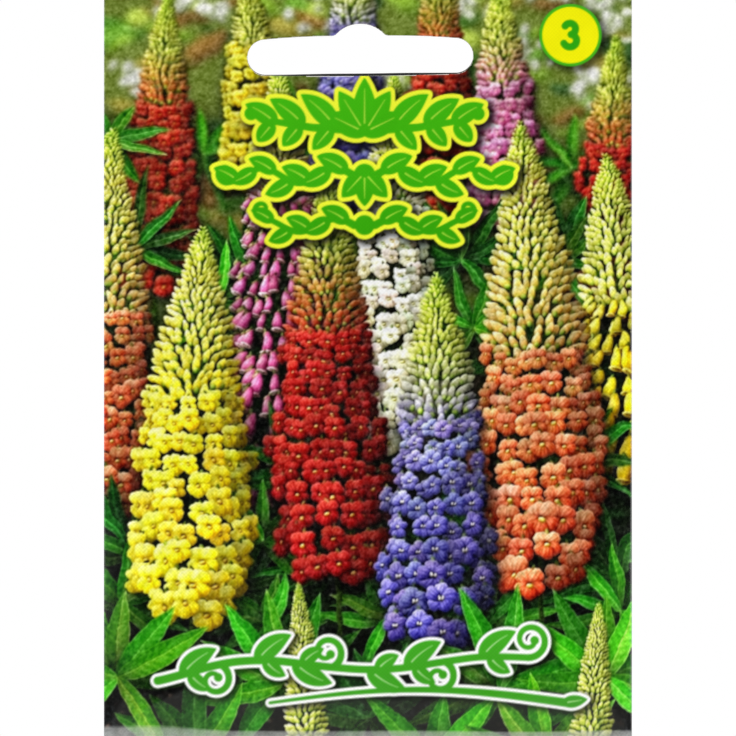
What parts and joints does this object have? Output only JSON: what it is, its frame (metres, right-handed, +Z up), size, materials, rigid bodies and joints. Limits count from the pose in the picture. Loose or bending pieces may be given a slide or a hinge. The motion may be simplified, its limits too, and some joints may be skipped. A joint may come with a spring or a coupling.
{
  "type": "seed packet",
  "caption": "Folded paper seed packet: a lens-shaped pouch closed by a glued back lap and bottom lip, loose seeds inside, and a flat header with a hang slot.",
  "frame": {"origin": "top of the hang slot's hump, where the display peg bears, midway through the header's thickness", "axes": "+Z up as the packet hangs, -Y out of the printed front, +X to the right as the front is seen"},
  "size_m": [0.08, 0.0038, 0.116],
  "materials": {
    "printed_paper": "satin",
    "seed_coat": "matte"
  },
  "bodies": {
    "root": {"folded_sheet": "printed_paper", "seed_01": "seed_coat", "seed_02": "seed_coat", "seed_03": "seed_coat", "seed_04": "seed_coat", "seed_05": "seed_coat", "seed_06": "seed_coat", "seed_07": "seed_coat", "seed_08": "seed_coat", "seed_09": "seed_coat", "seed_10": "seed_coat", "seed_11": "seed_coat", "seed_12": "seed_coat", "seed_13": "seed_coat", "seed_14": "seed_coat", "seed_15": "seed_coat", "seed_16": "seed_coat", "seed_17": "seed_coat", "seed_18": "seed_coat", "seed_19": "seed_coat", "seed_20": "seed_coat", "seed_21": "seed_coat", "seed_22": "seed_coat", "seed_23": "seed_coat", "seed_24": "seed_coat", "seed_25": "seed_coat", "seed_26": "seed_coat", "seed_27": "seed_coat", "seed_28": "seed_coat", "seed_29": "seed_coat", "seed_30": "seed_coat", "seed_31": "seed_coat", "seed_32": "seed_coat"}
  },
  "joints": []
}
